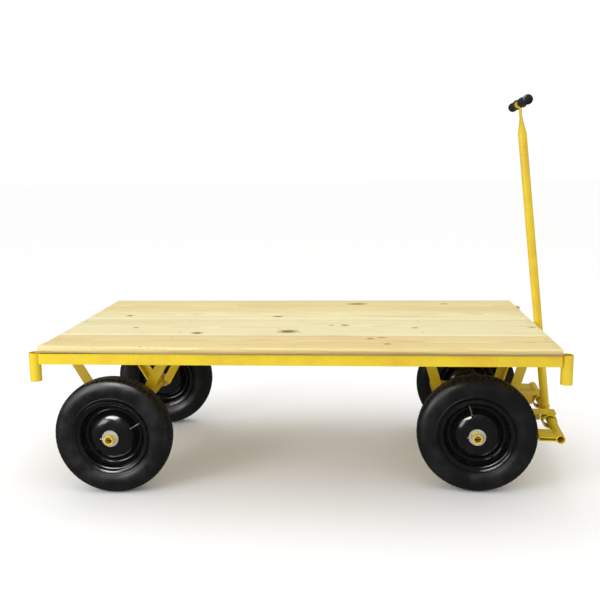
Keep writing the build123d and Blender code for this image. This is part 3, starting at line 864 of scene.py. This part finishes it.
    def valve(self, paints: Paints) -> None:
        """Build the valve: a rubber stem through the rim with a ribbed cap."""
        angle = math.radians(24.0 if self.name.startswith("rear") else 104.0)
        local = self.seat.inverted().to_3x3()
        spoke = (local @ Vector((math.cos(angle), 0, math.sin(angle)))).normalized()
        spoke.z = 0.0
        spoke.normalize()
        tip = spoke * 63 * MM + UP * 34 * MM
        root = spoke * 111 * MM + UP * 4 * MM
        along = root - tip
        piece = Piece(f"{self.name}_valve")
        length = along.length
        outline = in_mm(
            (0, 0), (3, 0), (3.9, 0.8), (3.9, 9), (3.1, 9.6), (3.1, 11), (3.9, 12), (4.2, 20),
            (5.4, 30),
        ) + [(5.8 * MM, length * 0.72), (4.0 * MM, length), (0.0, length)]
        piece.spin(outline, 20, closed=False)
        piece.move(self.seat @ place_on(tip, along))
        piece.finish(self.body, "inner_tube", paints.grip, (f"{self.name}_inner_tube",))


# --- small fittings
@dataclass
class SplitPins:
    """Split pins of one axle: a ring eye, and two legs that are parted behind the axle."""

    axle: str
    wire: float = 1.05 * MM
    eye: float = 3.4 * MM
    leg: float = 13.0 * MM
    pipe: float = 13.35 * MM
    reach: float = 47.7 * MM

    def build(self, paints: Paints) -> None:
        """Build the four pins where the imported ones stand."""
        body = "chassis" if self.axle == "rear" else "front_bogie"
        piece = Piece(f"{self.axle}_parted_pins")
        for side in ("left", "right"):
            wheel, axis = pivot_of(f"{self.axle}_{side}_wheel")
            for way in (-1, 1):
                self.pin(piece, wheel + axis * way * self.reach, axis.cross(UP), axis * way)
        piece.finish(body, "zinc", paints.zinc, (f"{self.axle}_split_pins",))

    def pin(self, piece: Piece, centre: Vector, ahead: Vector, out: Vector) -> None:
        """Add one pin: legs through the axle, eye in front, tips bent apart behind."""
        half = self.pipe
        eye_middle = centre + ahead * (half + self.eye + 0.8 * MM)
        loop = [
            eye_middle + (ahead * -math.cos(t) + UP * math.sin(t)) * self.eye
            for t in [0.35 + i * (math.tau - 0.7) / 12 for i in range(13)]
        ]
        lift = UP * self.wire
        upper = [centre - ahead * (half + 2 * MM) + lift]
        upper.append(upper[0] - ahead * 3 * MM + UP * self.leg * 0.25)
        upper.append(upper[1] - ahead * 2 * MM + UP * self.leg * 0.6)
        lower = [centre - ahead * (half + 3 * MM) - lift]
        lower.append(lower[0] - ahead * self.leg - out * 0.2 * MM)
        add_wire(piece, upper[::-1] + [centre + ahead * half + lift] + loop
                 + [centre + ahead * half - lift] + lower, self.wire)


def add_wire(piece: Piece, points: Sequence[Vector], radius: float, sides: int = 8) -> None:
    """Add a round wire along a line of points, with closed ends.

    Args:
        piece: The piece that the wire joins.
        points: The wire's middle line.
        radius: The wire's radius.
        sides: How many flats it has.
    """
    rings = []
    for index, point in enumerate(points):
        before = points[max(index - 1, 0)]
        after = points[min(index + 1, len(points) - 1)]
        matrix = place_on(point, after - before, Vector((0.3, 0.9, 0.2)))
        ring = bmesh.ops.create_circle(piece.bm, segments=sides, radius=radius, matrix=matrix)
        verts = ring["verts"]
        edges = {edge for vert in verts for edge in vert.link_edges}
        rings.append(list(edges))
    for first, second in zip(rings, rings[1:]):
        bmesh.ops.bridge_loops(piece.bm, edges=first + second)
    for end in (rings[0], rings[-1]):
        bmesh.ops.holes_fill(piece.bm, edges=end)
    bmesh.ops.recalc_face_normals(piece.bm, faces=piece.bm.faces)


@dataclass
class Grips:
    """The two ribbed rubber grips of the cross handle."""

    radius: float = 13.5 * MM
    flange: float = 15.5 * MM
    length: float = 128 * MM
    ribs: int = 16
    handle: float = 10.85 * MM

    def build(self, paints: Paints) -> None:
        """Build both grips round the handle's ends."""
        axis = pivot_of("drawbar")[1]
        for name, side in (("left", 1), ("right", -1)):
            low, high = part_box(f"{name}_grip")
            middle = (low + high) / 2
            out = axis * side
            piece = Piece(f"{name}_ribbed_grip")
            piece.spin(self.outline(), 40)
            piece.move(place_on(middle + out * self.length / 2, -out))
            piece.finish("drawbar", "grip", paints.grip, (f"{name}_grip",), crease=40.0)

    def outline(self) -> list[tuple[float, float]]:
        """The grip's section from its closed end inwards, as (radius, distance from the end)."""
        points = in_mm((1.5, 0), (8, 0), (12.2, 0.8), (14.6, 2), (14.9, 6))
        points.append((self.radius, 8 * MM))
        start, end = 14 * MM, self.length - 14 * MM
        pitch = (end - start) / self.ribs
        for rib in range(self.ribs):
            at = start + rib * pitch
            points += [
                (self.radius, at), (self.radius - 0.7 * MM, at + pitch * 0.2),
                (self.radius - 0.7 * MM, at + pitch * 0.4), (self.radius, at + pitch * 0.6),
            ]
        points += [
            (self.radius, self.length - 8 * MM), (self.flange - 0.6 * MM, self.length - 6.4 * MM),
            (self.flange, self.length - 5.6 * MM), (self.flange, self.length - 1 * MM),
            (self.flange - 1 * MM, self.length), (self.handle, self.length),
            (self.handle, 3 * MM), (1.5 * MM, 3 * MM),
        ]
        return points


# --- welds
@dataclass
class Welds:
    """Hand-laid weld beads, painted over with the frame."""

    radius: float = 2.3 * MM
    pitch: float = 3.1 * MM
    seed: int = 1
    pocket_bead: float = 6.5 * MM
    strut_flange: float = 29 * MM
    strut_width: float = 33 * MM
    saddle_half: float = 118 * MM
    saddle_flange: float = 18.8 * MM
    saddle_end: float = 140 * MM
    axle_radius: float = 13.35 * MM
    bush_reach: float = 104 * MM
    bush_bead: float = 20 * MM
    shoe_reach: float = 254 * MM
    shoe_bead: float = 36 * MM
    handle_bead: float = 17 * MM
    chassis: Piece = field(default_factory=lambda: Piece("frame_welds"))
    bogie: Piece = field(default_factory=lambda: Piece("front_axle_welds"))
    bar: Piece = field(default_factory=lambda: Piece("drawbar_welds"))

    def bead(self, piece: Piece, start: Vector, end: Vector, size: float = 1.0) -> None:
        """Lay one straight bead of overlapping drops.

        Args:
            piece: The piece that the bead joins.
            start: Where the bead begins.
            end: Where it ends.
            size: How fat it is, against the usual bead.
        """
        run = end - start
        drops = max(2, round(run.length / (self.pitch * size)))
        for index in range(drops + 1):
            point = start + run * (index / drops)
            jitter = noise.noise_vector(point * 900) * 0.45 * MM * size
            scale = self.radius * size * (1 + 0.22 * noise.noise(point * 700))
            made = bmesh.ops.create_uvsphere(piece.bm, u_segments=8, v_segments=5, radius=scale)
            piece.move(Matrix.Translation(point + jitter), made["verts"])

    def ring(
        self, piece: Piece, centre: Vector, axis: Vector, radius: float, size: float = 1.0,
        start: float = 0.0, end: float = math.tau,
    ) -> None:
        """Lay a bead round a pipe.

        Args:
            piece: The piece that the bead joins.
            centre: The ring's middle.
            axis: The pipe's direction.
            radius: The ring's radius.
            size: How fat the bead is.
            start: Where round the pipe it begins, in radians.
            end: Where it ends.
        """
        seat = place_on(centre, axis, Vector((1, 0, 0)))
        count = max(3, int(radius * (end - start) / (10 * MM)) + 2)
        points = [
            seat @ Vector((math.cos(t) * radius, math.sin(t) * radius, 0))
            for t in [start + (end - start) * i / count for i in range(count + 1)]
        ]
        for first, second in zip(points, points[1:]):
            self.bead(piece, first, second, size)

    def build(self, paints: Paints) -> None:
        """Lay every bead of the truck, its drops shaken the same way each time."""
        noise.seed_set(self.seed)
        self.pockets()
        self.struts()
        self.front_axle()
        self.drawbar()
        for piece, body in (
            (self.chassis, "chassis"), (self.bogie, "front_bogie"), (self.bar, "drawbar")
        ):
            piece.finish(body, "frame_paint", paints.yellow, crease=60.0)

    def pockets(self) -> None:
        """Weld each stake pocket to its end rail, down both sides of the contact line."""
        rail_low, rail_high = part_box("end_rail_front")
        run = UP * (rail_high.z - rail_low.z - 5 * MM)
        for end in ("front", "rear"):
            for side in ("left", "right"):
                low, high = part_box(f"stake_pocket_{end}_{side}")
                middle = (low + high) / 2
                way = 1 if end == "front" else -1
                face = low.x if way > 0 else high.x
                for dy in (-self.pocket_bead, self.pocket_bead):
                    foot = Vector((face + way * 1.2 * MM, middle.y + dy, rail_low.z + 2 * MM))
                    self.bead(self.chassis, foot, foot + run)

    def struts(self) -> None:
        """Weld the struts to the frame, the rear axle and the upper plate."""
        axle_low, axle_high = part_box("rear_axle")
        centre = (axle_low + axle_high) / 2
        pipe = (axle_high.z - axle_low.z) / 2
        for side in ("left", "right"):
            way = 1 if side == "left" else -1
            for end in ("front", "rear"):
                for axle in ("front", "rear"):
                    low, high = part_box(f"{axle}_strut_{end}_{side}")
                    far = high.x if end == "front" else low.x
                    back = -1 if end == "front" else 1
                    outer = high.y if way > 0 else low.y
                    top = Vector((far, outer, high.z - 1 * MM))
                    self.bead(self.chassis, top, top + Vector((back * self.strut_width, 0, 0)))
                    self.bead(self.chassis, top, top + Vector((0, -way * self.strut_flange, 0)))
                    if axle == "front":
                        near = low.x if end == "front" else high.x
                        foot = Vector((near, outer, low.z + 1 * MM))
                        self.bead(self.chassis, foot, foot - Vector((back * 31 * MM, 0, 0)))
            low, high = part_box(f"rear_strut_front_{side}")
            outer = high.y if way > 0 else low.y
            for offset, size in ((1.2 * MM, 1.4), (-5.5 * MM, 1.2)):
                spot = Vector((centre.x, outer + way * offset, centre.z))
                self.ring(self.chassis, spot, Vector((0, 1, 0)), pipe + 1 * MM, size)
            apex = Vector((centre.x, outer - way * 2 * MM, centre.z + pipe + 3 * MM))
            self.bead(self.chassis, apex, apex + UP * 22 * MM, 1.5)

    def front_axle(self) -> None:
        """Weld the saddle to the lower plate, and the arms and bushes to the saddle."""
        pivot, axis = pivot_of("drawbar")
        ahead = axis.cross(UP)
        saddle_low, saddle_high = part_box("axle_saddle")
        middle = (saddle_low + saddle_high) / 2
        for way in (-1, 1):
            edge = Vector((middle.x, middle.y, saddle_high.z - 0.5 * MM))
            edge += ahead * way * self.saddle_flange
            self.bead(self.bogie, edge - axis * self.saddle_half, edge + axis * self.saddle_half)
            for side in (-1, 1):
                tip = Vector((middle.x, middle.y, saddle_low.z + self.axle_radius))
                tip += axis * side * (self.saddle_end + 1 * MM)
                self.ring(self.bogie, tip, axis, 14.6 * MM, 1.0, way * 0.2, way * 2.6)
        bush_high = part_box("hinge_bushes")[1]
        for side in (-1, 1):
            for way in (-1, 1):
                line = pivot + axis * side * self.bush_reach + ahead * (way * 8 - 4.9) * MM
                line.z = bush_high.z - 1.6 * MM
                half = axis * self.bush_bead
                self.bead(self.bogie, line - half, line + half, 1.1)

    def drawbar(self) -> None:
        """Weld the drawbar's foot, the brake shoes and the handle."""
        pivot, axis = pivot_of("drawbar")
        ahead = axis.cross(UP)
        low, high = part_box("handle_bar")
        handle = (low + high) / 2
        lean = (handle - pivot).normalized()
        self.ring(self.bar, pivot + lean * 13.6 * MM, lean, 13.2 * MM, 1.25)
        neck = handle - lean * 11 * MM
        for way in (-1, 1):
            spot = neck + ahead * way * 4 * MM
            half = axis * self.handle_bead
            self.bead(self.bar, spot - half, spot + half, 0.9)
            half = axis * self.shoe_bead
            for side in (-1, 1):
                shoe = pivot + axis * side * self.shoe_reach - ahead * 12 * MM + UP * way * 6.6 * MM
                self.bead(self.bar, shoe - half, shoe + half, 0.9)


# --- studio
@dataclass
class Studio:
    """A pale floor, a white room and soft lights."""

    floor_colour: tuple[float, float, float] = (0.985, 0.985, 0.98)
    room_strength: float = 1.0
    room_in_gloss: float = 0.1

    def build(self) -> None:
        """Build the floor, the room's light and the lamps."""
        piece = bmesh.new()
        bmesh.ops.create_grid(piece, x_segments=1, y_segments=1, size=40.0)
        mesh = bpy.data.meshes.new("floor")
        piece.to_mesh(mesh)
        piece.free()
        floor = bpy.data.objects.new("floor", mesh)
        graph = Graph("floor_paint")
        mesh.materials.append(graph.surface(
            base_color=self.floor_colour, roughness=1.0, specular_ior_level=0.0
        ))
        floor.visible_glossy = False
        bpy.context.scene.collection.objects.link(floor)
        world = bpy.data.worlds.new("white_room")
        world.use_nodes = True
        tree = world.node_tree
        sky = tree.nodes["Background"]
        sky.inputs["Color"].default_value = (1.0, 1.0, 1.0, 1.0)
        path = tree.nodes.new("ShaderNodeLightPath")
        dim = tree.nodes.new("ShaderNodeMapRange")
        dim.inputs["To Min"].default_value = self.room_strength
        dim.inputs["To Max"].default_value = self.room_in_gloss
        tree.links.new(path.outputs["Is Glossy Ray"], dim.inputs["Value"])
        tree.links.new(dim.outputs["Result"], sky.inputs["Strength"])
        bpy.context.scene.world = world
        bpy.context.scene.view_settings.view_transform = "Standard"
        middle = Vector((0, 0, 0.4))
        self.lamp("key_softbox", Vector((-2.6, -2.6, 1.5)), middle, 1.6, 42.0)
        self.lamp("sheen_softbox", Vector((-1.1, -1.5, 2.8)), middle, 2.0, 190.0, False)
        self.lamp("top_softbox", Vector((0.3, 0.7, 2.6)), middle, 1.4, 7.0)

    def lamp(
        self, name: str, spot: Vector, target: Vector, size: float, power: float,
        lights: bool = True,
    ) -> None:
        """Hang one square soft lamp that faces a point.

        Args:
            name: The lamp's name.
            spot: Where it hangs.
            target: What it faces.
            size: Its side in metres.
            power: Its power in watts.
            lights: False for a lamp that shows only in gloss.
        """
        data = bpy.data.lights.new(name, "AREA")
        data.shape = "SQUARE"
        data.size = size
        data.energy = power
        lamp = bpy.data.objects.new(name, data)
        lamp.visible_diffuse = lights
        turn = (spot - target).to_track_quat("Z", "Y").to_matrix().to_4x4()
        lamp.matrix_world = Matrix.Translation(spot) @ turn
        bpy.context.scene.collection.objects.link(lamp)


@dataclass
class Viewpoint:
    """The camera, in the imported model's frame."""

    spot: tuple[float, float, float] = (0.1595, -2.5758, 0.9781)
    yaw: float = math.radians(-4.31)
    pitch: float = math.radians(9.76)
    roll: float = math.radians(-0.76)
    lens: float = 47.34

    def build(self) -> None:
        """Make the camera and give it to the scene."""
        forward = Vector(
            (math.sin(self.yaw) * math.cos(self.pitch), math.cos(self.yaw) * math.cos(self.pitch),
             -math.sin(self.pitch))
        )
        level = Vector((math.cos(self.yaw), -math.sin(self.yaw), 0))
        upright = level.cross(forward)
        right = level * math.cos(self.roll) + upright * math.sin(self.roll)
        up = upright * math.cos(self.roll) - level * math.sin(self.roll)
        data = bpy.data.cameras.new("viewpoint")
        data.lens = self.lens
        data.sensor_width = 36.0
        data.clip_end = 200.0
        camera = bpy.data.objects.new("viewpoint", data)
        turn = Matrix((right, up, -forward)).transposed().to_4x4()
        camera.matrix_world = Matrix.Translation(Vector(self.spot)) @ turn
        bpy.context.scene.collection.objects.link(camera)
        bpy.context.scene.camera = camera


def main() -> None:
    """Build the truck's pieces in order."""
    logging.basicConfig(level=logging.INFO, format="%(message)s")
    Viewpoint().build()
    Studio().build()
    paints = Paints()
    paints.dress()
    Deck().build(paints)
    for name in ("rear_left", "rear_right", "front_left", "front_right"):
        Wheel(name).build(paints)
    for axle in ("rear", "front"):
        SplitPins(axle).build(paints)
    Grips().build(paints)
    Welds().build(paints)


if __name__ == "__main__":
    main()
